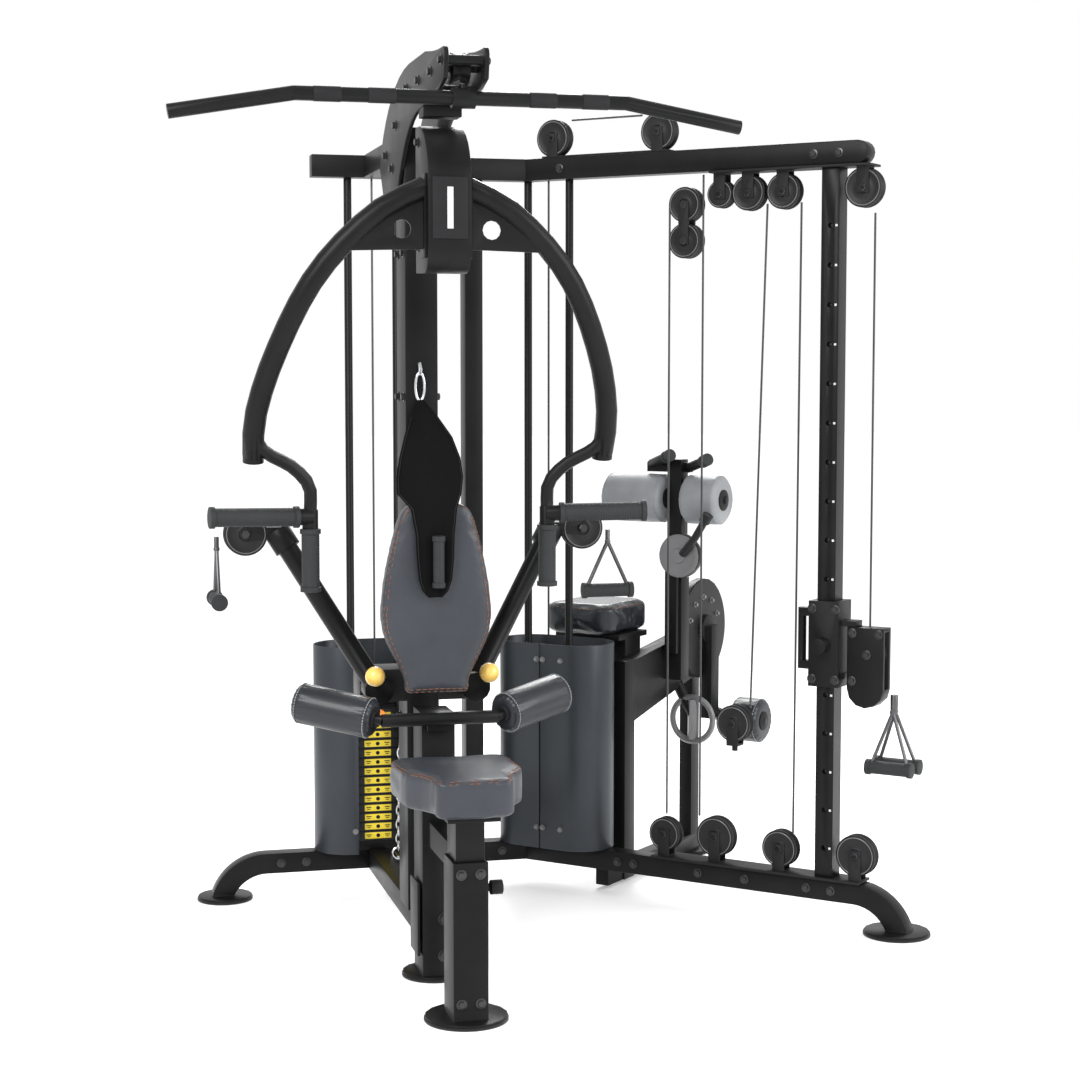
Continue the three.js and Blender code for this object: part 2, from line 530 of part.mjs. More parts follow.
// ---- cable column carriage ----
function addCarriage() {
  const outer = block([WING_POST - 42, WING_POST + 42], [-42, 42], [640, 865]);
  const sleeve = cut(outer, block([WING_POST - 26, WING_POST + 26], [-26, 26], [600, 900]));
  const grip = [[680, 702], [820, 842]].map(([z0, z1]) => block([WING_POST - 84, WING_POST - 40], [-12, 12], [z0, z1]));
  const bail = bar([WING_POST - 78, 0, 680], [WING_POST - 78, 0, 842], 11, 12);
  const knob = bar([WING_POST, -40, 750], [WING_POST, -78, 750], 21, 14);
  const lug = [[660, 46], [800, 82]].map(([z, end]) => block([WING_POST + 40, WING_POST + end], [-22, 22], [z, z + 15]));
  add("carriage", join(sleeve, ...grip, bail, knob, ...lug), STEEL, wing);
  const bend = bar([WING_POST + 110, -26, 640], [WING_POST + 110, 26, 640], 50);
  const slot = block([WING_POST + 70, WING_POST + 162], [-15, 15], [640, 790]);
  const wheel = join(pulley([WING_POST + 114, 0, 730], [0, 1, 0], 42), bar([WING_POST + 114, -20, 730],
    [WING_POST + 114, 20, 730], 8, 12));
  const frame = block([WING_POST + 60, WING_POST + 160], [-26, 26], [640, 799.7]);
  add("pulley_housing", join(cut(join(frame, bend), slot), wheel), STEEL, wing);
  const u = WING_POST + 182;
  const straps = [-1, 1].map((side) => side * 30).flatMap((v) => [
    bar([u, v / 4, 585], [u - 52, v, 440], 4.5, 8), bar([u, v / 4, 585], [u + 52, v, 440], 4.5, 8),
    bar([u - 62, v, 440], [u + 62, v, 440], 16, 12)]);
  const ring = bar([u, 0, 578], [u, 0, 628], 10, 12);
  const neck = bar([u, -14, 584], [u, 14, 584], 7, 10);
  add("column_handles", join(ring, neck, ...straps), CHROME, wing);
}

addFrame();
addBoom();
addStacks();
addSeat();
addRollers();
addPress();
addLatBar();
addCableArms();
addWingPulleys();
addCables();
addLegStation();
addCarriage();

export default part;
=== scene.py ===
import json
import math
import random
import bmesh
import bpy
from mathutils import Matrix, Vector
from mathutils.bvhtree import BVHTree


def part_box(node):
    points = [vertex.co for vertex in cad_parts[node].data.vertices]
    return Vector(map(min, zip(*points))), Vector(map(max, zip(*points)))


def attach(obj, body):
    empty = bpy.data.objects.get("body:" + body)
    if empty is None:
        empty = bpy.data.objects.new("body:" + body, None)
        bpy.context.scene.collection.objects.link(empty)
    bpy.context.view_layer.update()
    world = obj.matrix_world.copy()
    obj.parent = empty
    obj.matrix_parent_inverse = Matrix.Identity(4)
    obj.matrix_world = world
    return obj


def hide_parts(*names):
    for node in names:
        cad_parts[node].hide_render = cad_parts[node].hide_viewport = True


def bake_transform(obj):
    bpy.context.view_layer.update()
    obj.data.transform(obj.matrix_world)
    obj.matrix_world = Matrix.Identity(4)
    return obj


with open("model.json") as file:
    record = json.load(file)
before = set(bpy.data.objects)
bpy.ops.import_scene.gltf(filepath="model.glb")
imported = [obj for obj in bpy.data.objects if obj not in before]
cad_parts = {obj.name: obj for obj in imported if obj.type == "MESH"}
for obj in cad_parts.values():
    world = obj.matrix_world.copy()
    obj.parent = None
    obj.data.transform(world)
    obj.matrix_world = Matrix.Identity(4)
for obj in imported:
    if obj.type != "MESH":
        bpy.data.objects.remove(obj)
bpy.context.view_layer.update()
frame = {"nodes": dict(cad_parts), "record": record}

NODES = frame["nodes"]
JOINTS = {joint["name"]: joint for joint in frame["record"]["behaviour"]["joints"]}
BODY_OF = {node: body for body, nodes in frame["record"]["behaviour"]["bodies"].items() for node in nodes}
MM = 0.001
random.seed(7)

# ---- camera, stage and light ----
LENS = 70.33
EYE = (-0.9695, -4.9448, 1.470)
PITCH_DOWN = 4.66
TURN = -14.0


def add_camera():
    camera = bpy.data.objects.new("camera", bpy.data.cameras.new("camera"))
    camera.data.lens = LENS
    camera.location = EYE
    camera.rotation_euler = (math.radians(90 - PITCH_DOWN), 0, math.radians(TURN))
    bpy.context.collection.objects.link(camera)
    bpy.context.scene.camera = camera


def add_area(name, place, aim, size, power):
    light = bpy.data.lights.new(name, "AREA")
    light.size = size
    light.energy = power
    lamp = bpy.data.objects.new(name, light)
    lamp.location = place
    lamp.rotation_euler = (Vector(aim) - Vector(place)).to_track_quat("-Z", "Y").to_euler()
    bpy.context.collection.objects.link(lamp)


def add_stage():
    grid = bmesh.new()
    bmesh.ops.create_grid(grid, x_segments=2, y_segments=2, size=40)
    mesh = bpy.data.meshes.new("floor")
    grid.to_mesh(mesh)
    floor = bpy.data.objects.new("floor", mesh)
    floor.location.z = -0.0005
    bpy.context.collection.objects.link(floor)
    paint = bpy.data.materials.new("floor")
    paint.use_nodes = True
    shader = paint.node_tree.nodes["Principled BSDF"]
    shader.inputs["Base Color"].default_value = (0.9, 0.9, 0.9, 1)
    shader.inputs["Roughness"].default_value = 0.9
    shader.inputs["Emission Color"].default_value = (1, 1, 1, 1)
    shader.inputs["Emission Strength"].default_value = 0.2
    mesh.materials.append(paint)
    world = bpy.data.worlds.new("studio")
    bpy.context.scene.world = world
    world.use_nodes = True
    world.node_tree.nodes["Background"].inputs[0].default_value = (1, 1, 1, 1)
    world.node_tree.nodes["Background"].inputs[1].default_value = 1.0
    add_area("key", (-3.2, -3.5, 4.2), (0.3, 0.3, 0.9), 2.5, 260)
    add_area("fill", (4.0, -2.6, 2.6), (0.4, 0.4, 1.0), 2.5, 150)
    add_area("rim", (1.5, 4.0, 3.6), (0.3, 0.3, 1.2), 2.0, 160)
    bpy.context.scene.view_settings.view_transform = "Standard"


# ---- materials ----
def surface(name, colour, rough, metal=0.0, grain=400.0, bump=0.05, vary=0.25, coat=0.0, shine=0.5):
    """A procedural finish: a fine grain in the bump and a soft cloud in the colour and the gloss."""
    paint = bpy.data.materials.new(name)
    paint.use_nodes = True
    tree = paint.node_tree
    shader = tree.nodes["Principled BSDF"]
    shader.inputs["Metallic"].default_value = metal
    shader.inputs["Coat Weight"].default_value = coat
    shader.inputs["Specular IOR Level"].default_value = shine
    where = tree.nodes.new("ShaderNodeTexCoord")
    cloud = tree.nodes.new("ShaderNodeTexNoise")
    cloud.inputs["Scale"].default_value = 9.0
    cloud.inputs["Detail"].default_value = 6.0
    tree.links.new(where.outputs["Object"], cloud.inputs["Vector"])
    ramp = tree.nodes.new("ShaderNodeValToRGB")
    ramp.color_ramp.elements[0].position = 0.3
    ramp.color_ramp.elements[1].position = 0.7
    ramp.color_ramp.elements[0].color = (*[c * (1 - vary) for c in colour], 1)
    ramp.color_ramp.elements[1].color = (*[c * (1 + vary) for c in colour], 1)
    tree.links.new(cloud.outputs["Fac"], ramp.inputs["Fac"])
    tree.links.new(ramp.outputs["Color"], shader.inputs["Base Color"])
    gloss = tree.nodes.new("ShaderNodeMapRange")
    gloss.inputs["To Min"].default_value = rough * 0.85
    gloss.inputs["To Max"].default_value = min(1, rough * 1.15)
    tree.links.new(cloud.outputs["Fac"], gloss.inputs["Value"])
    tree.links.new(gloss.outputs["Result"], shader.inputs["Roughness"])
    fine = tree.nodes.new("ShaderNodeTexNoise")
    fine.inputs["Scale"].default_value = grain
    fine.inputs["Detail"].default_value = 3.0
    tree.links.new(where.outputs["Object"], fine.inputs["Vector"])
    relief = tree.nodes.new("ShaderNodeBump")
    relief.inputs["Strength"].default_value = bump
    relief.inputs["Distance"].default_value = 0.001
    tree.links.new(fine.outputs["Fac"], relief.inputs["Height"])
    tree.links.new(relief.outputs["Normal"], shader.inputs["Normal"])
    return paint


def leather(name, colour, rough, coat=0.0):
    """Hide: small cells in the bump over the cloudy finish."""
    paint = surface(name, colour, rough, grain=260, bump=0.25, vary=0.16, coat=coat, shine=0.32)
    tree = paint.node_tree
    cells = tree.nodes.new("ShaderNodeTexVoronoi")
    cells.inputs["Scale"].default_value = 330.0
    where = next(n for n in tree.nodes if n.type == "TEX_COORD")
    tree.links.new(where.outputs["Object"], cells.inputs["Vector"])
    relief = next(n for n in tree.nodes if n.type == "BUMP")
    tree.links.new(cells.outputs["Distance"], relief.inputs["Height"])
    return paint


def weave(name, colour, rough):
    """Webbing: crossed threads in the bump."""
    paint = surface(name, colour, rough, vary=0.2, bump=0.5, shine=0.08)
    tree = paint.node_tree
    where = next(n for n in tree.nodes if n.type == "TEX_COORD")
    relief = next(n for n in tree.nodes if n.type == "BUMP")
    threads = tree.nodes.new("ShaderNodeTexWave")
    threads.inputs["Scale"].default_value = 160.0
    threads.inputs["Distortion"].default_value = 0.4
    tree.links.new(where.outputs["Object"], threads.inputs["Vector"])
    tree.links.new(threads.outputs["Fac"], relief.inputs["Height"])
    return paint


PAINTS = {
    "black_steel": surface("black_steel", (0.0065, 0.0066, 0.007), 0.38, 0.0, 700, 0.12, 0.2, 0.0, 0.14),
    "shroud_steel": surface("shroud_steel", (0.036, 0.041, 0.047), 0.38, 0.4, 600, 0.08, 0.08, 0.0, 0.3),
    "chrome": surface("chrome", (0.55, 0.56, 0.58), 0.22, 1.0, 300, 0.03, 0.1),
    "black_rubber": surface("black_rubber", (0.010, 0.010, 0.011), 0.6, 0.0, 500, 0.2, 0.25, 0.0, 0.2),
    "leather": leather("leather", (0.030, 0.034, 0.042), 0.42, 0.05),
    "roller_leather": leather("roller_leather", (0.014, 0.016, 0.020), 0.36, 0.1),
    "pale_foam": leather("pale_foam", (0.23, 0.24, 0.25), 0.5),
    "cable": surface("cable", (0.03, 0.03, 0.03), 0.4, 0.1, 900, 0.1),
    "stack_steel": surface("stack_steel", (0.012, 0.012, 0.013), 0.5, 0.3, 400, 0.2),
    "orange_knob": surface("orange_knob", (0.75, 0.22, 0.02), 0.3, 0.0, 200, 0.02, 0.05, 0.4),
}
GREY = surface("grey_wheel", (0.013, 0.013, 0.014), 0.45, 0.0, 500, 0.1, 0.15, 0.0, 0.2)
PALE_RIM = surface("pale_rim", (0.16, 0.16, 0.165), 0.35, 0.3, 300, 0.05, 0.1)
GRIP = surface("grip_rubber", (0.020, 0.021, 0.022), 0.6, 0.0, 900, 0.6, 0.15, 0.0, 0.25)
YELLOW = surface("label_yellow", (0.78, 0.60, 0.03), 0.4, 0.0, 250, 0.05, 0.08)
KNOB = surface("knob_cream", (0.86, 0.55, 0.12), 0.25, 0.0, 200, 0.02, 0.05, 0.4)
THREAD = surface("thread_tan", (0.16, 0.065, 0.03), 0.7, 0.0, 900, 0.4, 0.2)
STRAP = weave("strap_black", (0.004, 0.004, 0.0045), 0.9)
BOLT = surface("bolt_steel", (0.045, 0.045, 0.047), 0.32, 0.8, 500, 0.05, 0.15)
DARK_METAL = surface("dark_metal", (0.09, 0.09, 0.095), 0.35, 0.9, 300, 0.03, 0.1)
PRINT = surface("print_pale", (0.55, 0.55, 0.55), 0.5, 0.0, 300, 0.05, 0.1)


# ---- mesh helpers ----
class Shape:
    """Collects closed forms in one mesh."""

    def __init__(self):
        self.mesh = bmesh.new()

    def rings(self, rings, closed_ends=True, loop=False):
        rows = [[self.mesh.verts.new(p) for p in ring] for ring in rings]
        pairs = list(zip(rows, rows[1:])) + ([(rows[-1], rows[0])] if loop else [])
        for low, high in pairs:
            for i in range(len(low)):
                j = (i + 1) % len(low)
                self.mesh.faces.new((low[i], low[j], high[j], high[i]))
        if closed_ends and not loop:
            self.mesh.faces.new(rows[0][::-1])
            self.mesh.faces.new(rows[-1])
        return self

    def lathe(self, centre, axis, profile, sides=40):
        """profile holds (radius, distance along the axis) pairs."""
        turn = Vector((0, 0, 1)).rotation_difference(Vector(axis).normalized()).to_matrix()
        rings = []
        for radius, along in profile:
            ring = []
            for k in range(sides):
                angle = 2 * math.pi * k / sides
                place = Vector((radius * math.cos(angle), radius * math.sin(angle), along))
                ring.append(Vector(centre) + turn @ place)
            rings.append(ring)
        return self.rings(rings)

    def tube(self, points, radius, sides=12, loop=False):
        points = [Vector(p) for p in points]
        count = len(points)
        normal = None
        rings = []
        for i, p in enumerate(points):
            ahead = points[(i + 1) % count] if loop or i + 1 < count else p
            behind = points[i - 1] if loop or i > 0 else p
            along = (ahead - behind).normalized()
            if normal is None:
                normal = along.orthogonal().normalized()
            normal = (normal - along * normal.dot(along)).normalized()
            side = along.cross(normal)
            rings.append([p + radius * (normal * math.cos(a) + side * math.sin(a))
                          for a in (2 * math.pi * k / sides for k in range(sides))])
        return self.rings(rings, loop=loop)

    def block(self, low, high):
        made = bmesh.ops.create_cube(self.mesh, size=1)
        low, high = Vector(low), Vector(high)
        size = high - low
        for v in made["verts"]:
            v.co = (low + high) / 2 + Vector(v.co[i] * size[i] for i in range(3))
        return self

    def done(self, name, paint, body="frame", slot="black_steel", bevel=0.0, sharp=40):
        bmesh.ops.recalc_face_normals(self.mesh, faces=self.mesh.faces)
        mesh = bpy.data.meshes.new(name)
        self.mesh.to_mesh(mesh)
        self.mesh.free()
        return dress(mesh, name, paint, body, bevel, sharp)


def dress(mesh, name, paint, body, bevel=0.0, sharp=40):
    """Makes the mesh a smooth shaded piece that rides on its body."""
    mesh.materials.clear()
    mesh.materials.append(paint)
    piece = bpy.data.objects.new(name, mesh)
    bpy.context.collection.objects.link(piece)
    if bevel:
        modifier = piece.modifiers.new("edge", "BEVEL")
        modifier.width = bevel
        modifier.segments = 2
        modifier.limit_method = "ANGLE"
        modifier.angle_limit = math.radians(sharp)
        bake(piece)
    piece.data.shade_smooth()
    piece.data.set_sharp_from_angle(angle=math.radians(sharp))
    if body:
        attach(piece, body)
    return piece


def bake(piece):
    """Applies the piece's modifiers."""
    bpy.context.view_layer.update()
    shape = piece.evaluated_get(bpy.context.evaluated_depsgraph_get())
    mesh = bpy.data.meshes.new_from_object(shape)
    piece.modifiers.clear()
    piece.data = mesh


def wing(u, v, z):
    """A place on the right wing, in millimetres along it, behind it and up, in the row frame."""
    r = math.sqrt(0.5)
    return Vector((440 + (u + v) * r, 860 + (v - u) * r, z)) * MM


ALONG = Vector((1, -1, 0)).normalized()
BEHIND = Vector((1, 1, 0)).normalized()


# ---- the CAD steel, refined ----
TINT = {"stirrup_left": DARK_METAL, "stirrup_right": DARK_METAL, "column_handles": DARK_METAL}


def refine(node, slot, bevel=0.0016, body=None):
    """A piece from the node's own solid with broken edges and smooth rounds."""
    work = bmesh.new()
    work.from_mesh(NODES[node].data)
    bmesh.ops.remove_doubles(work, verts=work.verts, dist=1e-5)
    bmesh.ops.dissolve_limit(work, angle_limit=math.radians(0.6), verts=work.verts, edges=work.edges)
    mesh = bpy.data.meshes.new(node + "_fine")
    work.to_mesh(mesh)
    work.free()
    piece = dress(mesh, node + "_fine", TINT.get(node, PAINTS[slot]), None, bevel)
    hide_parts(node)
    if body is None:
        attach(piece, BODY_OF[node])
    return piece


SPECIAL = {
    "ab_sling", "ankle_roller", "back_pad", "column_cable", "left_cable", "leg_seat_pad",
    "mast_roller_left", "mast_roller_right", "right_cable", "seat_pad", "thigh_roller_left",
    "thigh_roller_right",
}


def refine_all():
    slots = {row["node"]: row["material_slot"] for row in frame["record"]["subparts"]}
    for node in sorted(NODES):
        if node in SPECIAL:
            continue
        refine(node, slots[node], 0.0005 if "cable" in node and "arm" not in node else 0.0016)


def stretch_cables():
    """Cables refined from their solids and baked in place; nothing ties them to the joint they hang over."""
    for node, body in (("left_cable", "left_lift_body"), ("right_cable", "right_lift_body"),
                       ("column_cable", "carriage_body")):
        piece = refine(node, "cable", 0, body)
        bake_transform(piece)


# ---- padding ----
def stuffed(node, paint, cap):
    """A cushion blown up by cloth pressure, starting from the node's solid drawn in a little."""
    low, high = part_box(node)
    middle = (low + high) / 2
    mesh = NODES[node].data.copy()
    shrink = [1 - 2 * cap * 0.8 / size for size in (high - low)]
    for v in mesh.vertices:
        v.co = middle + Vector((v.co[i] - middle[i]) * shrink[i] for i in range(3))
    mesh.materials.clear()
    mesh.materials.append(paint)
    piece = bpy.data.objects.new(node + "_cushion", mesh)
    bpy.context.collection.objects.link(piece)
    remesh = piece.modifiers.new("remesh", "REMESH")
    remesh.mode = "VOXEL"
    remesh.voxel_size = 0.006
    bake(piece)
    start = [v.co.copy() for v in piece.data.vertices]
    cloth = piece.modifiers.new("cloth", "CLOTH")
    cloth.settings.use_pressure = True
    cloth.settings.uniform_pressure_force = 4
    cloth.settings.effector_weights.gravity = 0
    cloth.settings.quality = 4
    cloth.collision_settings.use_collision = False
    scene = bpy.context.scene
    for step in range(1, 21):
        scene.frame_set(step)
    bake(piece)
    scene.frame_set(1)
    for v, place in zip(piece.data.vertices, start):
        moved = v.co - place
        if moved.length > cap:
            v.co = place + moved.normalized() * cap
    smooth = piece.modifiers.new("smooth", "SMOOTH")
    smooth.factor = 0.5
    smooth.iterations = 4
    fine = piece.modifiers.new("fine", "SUBSURF")
    fine.levels = 1
    fine.render_levels = 1
    bake(piece)
    if not piece.data.materials:
        piece.data.materials.append(paint)
    piece.data.shade_smooth()
    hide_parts(node)
    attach(piece, BODY_OF[node])
    return piece


def seam(name, cushion, node, normal, inset, dash=0.011, gap=0.001):
    """Stitches round the cushion's face that looks along normal, a set distance inside its edge."""
    normal = Vector(normal)
    axis = max(range(3), key=lambda i: abs(normal[i]))
    flat = [i for i in range(3) if i != axis]
    low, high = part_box(node)
    middle = (low + high) / 2
    face = high[axis] if normal[axis] > 0 else low[axis]
    rim = [v.co.copy() for v in NODES[node].data.vertices if abs(v.co[axis] - face) < 1e-4]
    rim.sort(key=lambda p: math.atan2(p[flat[1]] - middle[flat[1]], p[flat[0]] - middle[flat[0]]))
    path = []
    for a, b in zip(rim, rim[1:] + rim[:1]):
        steps = max(1, int((b - a).length / 0.004))
        path += [a.lerp(b, k / steps) for k in range(steps)]
    tree = BVHTree.FromObject(cushion, bpy.context.evaluated_depsgraph_get())
    local = cushion.matrix_world.inverted()
    laid = []
    for p in path:
        inward = Vector(middle - p)
        inward[axis] = 0
        q = p + inward.normalized() * inset
        q[axis] = face + normal[axis] * 0.1
        hit = tree.ray_cast(local @ q, local.to_3x3() @ -normal)
        if hit[0] is not None:
            laid.append(cushion.matrix_world @ hit[0] + normal * 0.0006)
    shape = Shape()
    run = [laid[0]]
    length = 0.0
    for a, b in zip(laid, laid[1:] + laid[:1]):
        length += (b - a).length
        if length < dash:
            run.append(b)
        elif length > dash + gap:
            if len(run) > 1:
                shape.tube(run, 0.0011, 5)
            run = [b]
            length = 0.0
    return shape.done(name, THREAD, BODY_OF[node], "leather")


def roller(node, joint, paint, slot, radius, wrinkle=0.0012, cap=None):
    """A padded roller: a crowned leather sleeve with gathered ends, about the joint's axis."""
    axis = Vector(JOINTS[joint]["axis"]).normalized()
    centre = Vector(JOINTS[joint]["pos_m"])
    spans = [(v.co - centre).dot(axis) for v in NODES[node].data.vertices]
    near, far = min(spans), max(spans)
    half = (far - near) / 2
    middle = centre + axis * (near + half)
    turn = Vector((0, 0, 1)).rotation_difference(axis).to_matrix()
    outline = []
    for k in range(29):
        x = -1 + 2 * k / 28
        edge = max(0.0, abs(x) * half - (half - 0.016)) / 0.016
        outline.append((radius * math.sqrt(max(0.0, 1 - 0.35 * edge ** 2)) * (1 - 0.02 * x * x), x * half))
    outline = [(radius * 0.3, -half + 0.004)] + outline + [(radius * 0.3, half - 0.004)]
    rings = []
    phase = random.random() * 6
    for r, z in outline:
        near_end = max(0.0, (abs(z) - half + 0.05) / 0.05)
        ring = []
        for k in range(72):
            a = 2 * math.pi * k / 72
            ripple = wrinkle * near_end * (math.sin(18 * a + phase) + 0.5 * math.sin(31 * a + 2 * phase))
            rr = r + ripple - wrinkle
            ring.append(middle + turn @ Vector((rr * math.cos(a), rr * math.sin(a), z)))
        rings.append(ring)
    piece = Shape().rings(rings).done(node + "_sleeve", paint, BODY_OF[node], slot, sharp=60)
    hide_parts(node)
    for end in (-1, 1):
        ends = Shape()
        ends.lathe(middle + axis * end * (half - 0.005), axis * end, [(0.012, 0), (radius * 0.42, 0.001),
                   (radius * 0.42, 0.005), (0.018, 0.009)], 32)
        ends.done(f"{node}_cap_{'in' if end < 0 else 'out'}", cap or PAINTS["black_rubber"], BODY_OF[node],
                  "black_rubber")
        hem = Shape()
        for k in range(44):
            a = 2 * math.pi * k / 44
            b = a + 0.09
            r = radius * 0.965
            z = end * (half - 0.011)
            stitch = [Vector((r * math.cos(t), r * math.sin(t), z)) for t in (a, (a + b) / 2, b)]
            hem.tube([middle + turn @ place for place in stitch], 0.0012, 5)
        hem.done(f"{node}_stitch_{'in' if end < 0 else 'out'}", PAINTS["pale_foam"], BODY_OF[node], slot)
    return piece


def add_pads():
    back = stuffed("back_pad", PAINTS["leather"], 0.007)
    seat = stuffed("seat_pad", PAINTS["leather"], 0.007)
    leg = stuffed("leg_seat_pad", PAINTS["roller_leather"], 0.010)
    for inset in (0.016, 0.023):
        seam(f"back_seam_{round(inset * 1000)}", back, "back_pad", (0, -1, 0), inset)
        seam(f"seat_seam_{round(inset * 1000)}", seat, "seat_pad", (0, 0, 1), inset)
    seam("leg_seat_seam", leg, "leg_seat_pad", (0, 0, 1), 0.02)
    for side in ("left", "right"):
        roller("thigh_roller_" + side, f"thigh_roller_{side}_spin", PAINTS["roller_leather"],
               "roller_leather", 0.05)
        roller("mast_roller_" + side, f"mast_roller_{side}_spin", PAINTS["pale_foam"],
               "pale_foam", 0.072, 0.0006)
    roller("ankle_roller", "ankle_roller_spin", PAINTS["roller_leather"], "roller_leather", 0.068)


# ---- wheels, bolts and trim ----
def wheel(name, centre, axis, radius, body="frame", half=0.0135):
    """A moulded cable wheel with raised rims, a groove, a hub and a hex bolt over the CAD wheel."""
    axis = Vector(axis).normalized()
    side = [(0.0, 0.0009), (0.3 * radius, 0.0009), (0.34 * radius, 0.003), (0.4 * radius, 0.0012),
            (0.78 * radius, 0.0012), (0.84 * radius, 0.003), (0.96 * radius, 0.003)]
    profile = [(r, -half - t) for r, t in side] + [(radius + 0.001, -half), (radius + 0.001, -half + 0.003),
               (radius - 0.006, -0.002), (radius - 0.006, 0.002), (radius + 0.001, half - 0.003),
               (radius + 0.001, half)] + [(r, half + t) for r, t in reversed(side)]
    profile[0] = (0.002, profile[0][1])
    profile[-1] = (0.002, profile[-1][1])
    Shape().lathe(centre, axis, profile, 48).done(name, GREY, body, "black_rubber", sharp=35)
    rims = Shape()
    turn = Vector((0, 0, 1)).rotation_difference(axis).to_matrix()
    for end in (-1, 1):
        ring = []
        for i in range(48):
            a = 2 * math.pi * i / 48
            place = Vector((0.9 * radius * math.cos(a), 0.9 * radius * math.sin(a), end * (half + 0.0028)))
            ring.append(Vector(centre) + turn @ place)
        rims.tube(ring, 0.0011, 6, loop=True)
    rims.done(name + "_rim", PALE_RIM, body, "black_rubber")
    hub = Shape()
    for end in (-1, 1):
        hub.lathe(centre, axis * end, [(0.011, half), (0.011, half + 0.009), (0.009, half + 0.0105)], 6)
    hub.done(name + "_bolt", BOLT, body, "black_steel", sharp=30)


def bolts(name, places, axis, body="frame", radius=0.0085, paint=None):
    """Hex heads on washers that stand on a face."""
    shape = Shape()
    for place in places:
        washer = [(radius * 1.45, -0.001), (radius * 1.45, 0.0016), (radius * 1.35, 0.002)]
        shape.lathe(place, axis, washer, 24)
        shape.lathe(place, axis, [(radius, 0.0), (radius, 0.0075), (radius * 0.8, 0.0088)], 6)
    shape.done(name, paint or BOLT, body, "black_steel", sharp=30)


def sleeve(name, start, end, radius, body):
    """A ribbed rubber grip with a fatter collar at each end."""
    start, end = Vector(start), Vector(end)
    length = (end - start).length
    collar = 0.012
    profile = [(radius * 0.9, 0), (radius * 1.16, 0.001), (radius * 1.16, collar), (radius, collar + 0.001)]
    ribs = int((length - 2 * collar) / 0.006)
    for i in range(ribs):
        z = collar + 0.002 + i * 0.006
        profile += [(radius, z), (radius * 0.975, z + 0.002), (radius, z + 0.004)]
    profile += [(radius, length - collar - 0.001), (radius * 1.16, length - collar),
                (radius * 1.16, length - 0.001), (radius * 0.9, length)]
    Shape().lathe(start, end - start, profile, 32).done(name, GRIP, body, "black_rubber", sharp=30)


def add_wheels():
    for u, z, r in ((92, 2104, 50), (420, 2104, 50), (607, 1930, 36), (690, 1930, 46), (790, 1930, 46),
                    (1013, 1930, 50), (450, 190, 45), (605, 200, 54), (796, 190, 49), (1014, 196, 54),
                    (657, 515, 49)):
        wheel(f"wheel_{u}_{z}", wing(u, 0, z), BEHIND, r * MM)
    for z in (1810, 1906):
        wheel(f"wheel_503_{z}", wing(503, 0, z), BEHIND, 46 * MM, half=0.0155)
    for name, side in (("left", -1), ("right", 1)):
        wheel(f"arm_wheel_{name}", (side * 0.425, 0.217, 1.066), (0, 1, 0), 0.052, f"arm_{name}_body")


def add_grips():
    for name, side in (("left", -1), ("right", 1)):
        sleeve(f"grip_upright_{name}", (side * 0.29, 0.035, 1.09), (side * 0.29, 0.035, 0.9385), 0.0215,
               "press_body")
        sleeve(f"grip_across_{name}", (side * 0.318, 0.026, 1.1185), (side * 0.5315, -0.0002, 1.122), 0.0222,
               "press_body")
        ends = [Vector((side * 0.495, 0.217, 0.905))] * 2
        across = Vector((0.067, 0, 0)) if side > 0 else Vector((0, 0.067, 0))
        sleeve(f"stirrup_grip_{name}", ends[0] - across, ends[1] + across, 0.0175, f"stirrup_{name}_body")
        ball = Shape()
        bmesh.ops.create_uvsphere(ball.mesh, u_segments=32, v_segments=20, radius=0.0242)
        bmesh.ops.translate(ball.mesh, verts=ball.mesh.verts, vec=(side * 0.14, 0.014, 0.733))
        ball.done(f"knob_ball_{name}", KNOB, f"arm_{name}_body", "orange_knob")
    for i, v in enumerate((-30, 30)):
        sleeve(f"column_grip_{i}", wing(1111 - 63, v, 440), wing(1111 + 63, v, 440), 0.0175, "handles_body")
    low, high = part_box("left_pin")
    centre = Vector(((low.x + high.x) / 2, low.y - 0.0005, (low.z + high.z) / 2))
    profile = [(0.008, 0), (0.0165, 0.0015), (0.0195, 0.006), (0.0195, 0.02), (0.015, 0.028), (0.008, 0.03)]
    Shape().lathe(centre, (0, 1, 0), profile, 32).done("pin_knob", PAINTS["orange_knob"], "left_pin_body",
                                                       "orange_knob")


def add_labels():
    """Yellow plate labels with a flat black disc of painted shade where the pin hole is, and plain printed
    bars.
    """
    low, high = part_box("left_stack")
    pitch = (high.z - low.z) / 13
    front = low.y
    label, mark = Shape(), Shape()
    for i in range(13):
        z = low.z + (i + 0.55) * pitch
        label.block((-0.0375, front - 0.0012, z - 0.0088), (0.0375, front + 0.0004, z + 0.0088))
        # The black disc stands for the pin hole: painted shade, with no hole cut.
        mark.lathe((0, front - 0.001, z), (0, -1, 0), [(0.0055, 0), (0.0055, 0.0009)], 20)
        for x, w in ((-0.026, 0.007), (0.026, 0.007)):
            mark.block((x - w, front - 0.0017, z + 0.001), (x + w, front - 0.0008, z + 0.0035))
            mark.block((x - w * 0.6, front - 0.0017, z - 0.004), (x + w * 0.6, front - 0.0008, z - 0.002))
    label.done("stack_labels", YELLOW, "frame", "stack_steel", 0.0006)
    mark.done("stack_label_print_and_painted_hole_shade", PAINTS["black_rubber"], "frame", "stack_steel")
    low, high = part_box("left_head")
    head = Shape()
    head.block((-0.0375, low.y - 0.0012, low.z + 0.006), (0.0375, low.y + 0.0004, low.z + 0.0235))
    head.done("head_label", YELLOW, "left_lift_body", "stack_steel", 0.0006)


